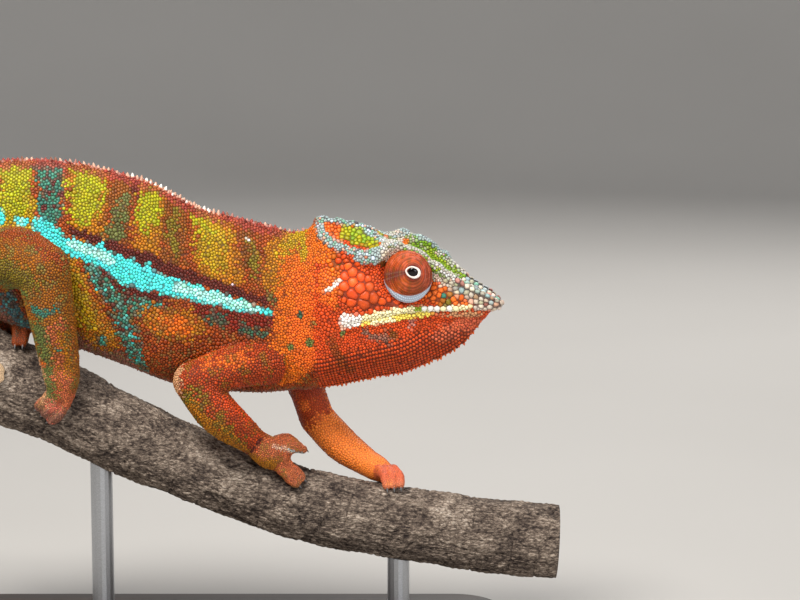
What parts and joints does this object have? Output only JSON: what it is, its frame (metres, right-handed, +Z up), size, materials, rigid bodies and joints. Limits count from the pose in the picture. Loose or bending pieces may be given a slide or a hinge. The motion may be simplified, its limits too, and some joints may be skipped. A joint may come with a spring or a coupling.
{
  "type": "panther chameleon",
  "caption": "Life-size still model of an adult male panther chameleon walking down a cut length of branch, held over a flat display base by rods.",
  "frame": {"origin": "centre of the display base's underside, at floor level", "axes": "+X the way the animal faces, +Y its left side, +Z up"},
  "size_m": [0.2973, 0.112, 0.1871],
  "materials": {
    "skin": "matt scaly skin, orange-red with lime green columns and a turquoise side stripe",
    "eye": "fine-grained skin of the eye turret, red with purple-brown bands and a pale crescent, around a small glossy pupil",
    "claw": "pale horn, satin",
    "bark": "rough grey-brown bark with pale sawn ends",
    "base": "dark stained wood, satin",
    "steel": "brushed"
  },
  "bodies": {
    "root": {"head": "skin", "lower_jaw": "skin", "neck": "skin", "trunk": "skin", "tail_1": "skin", "tail_2": "skin", "tail_3": "skin", "tail_4": "skin", "tail_5": "skin", "eye_right": "eye", "eye_left": "eye", "upper_arm_front_right": "skin", "forearm_front_right": "skin", "hand_front_right": "skin", "toes_outer_front_right": "skin", "toes_inner_front_right": "skin", "upper_arm_front_left": "skin", "forearm_front_left": "skin", "hand_front_left": "skin", "toes_outer_front_left": "skin", "toes_inner_front_left": "skin", "thigh_hind_right": "skin", "shank_hind_right": "skin", "foot_hind_right": "skin", "toes_outer_hind_right": "skin", "toes_inner_hind_right": "skin", "thigh_hind_left": "skin", "shank_hind_left": "skin", "foot_hind_left": "skin", "toes_outer_hind_left": "skin", "toes_inner_hind_left": "skin", "claw_outer_1_front_right": "claw", "claw_outer_2_front_right": "claw", "claw_inner_1_front_right": "claw", "claw_inner_2_front_right": "claw", "claw_inner_3_front_right": "claw", "claw_outer_1_front_left": "claw", "claw_outer_2_front_left": "claw", "claw_inner_1_front_left": "claw", "claw_inner_2_front_left": "claw", "claw_inner_3_front_left": "claw", "claw_outer_1_hind_right": "claw", "claw_outer_2_hind_right": "claw", "claw_outer_3_hind_right": "claw", "claw_inner_1_hind_right": "claw", "claw_inner_2_hind_right": "claw", "claw_outer_1_hind_left": "claw", "claw_outer_2_hind_left": "claw", "claw_outer_3_hind_left": "claw", "claw_inner_1_hind_left": "claw", "claw_inner_2_hind_left": "claw", "perch": "bark", "stand_base": "base", "stand_rod_1": "steel", "stand_rod_2": "steel"}
  },
  "joints": []
}
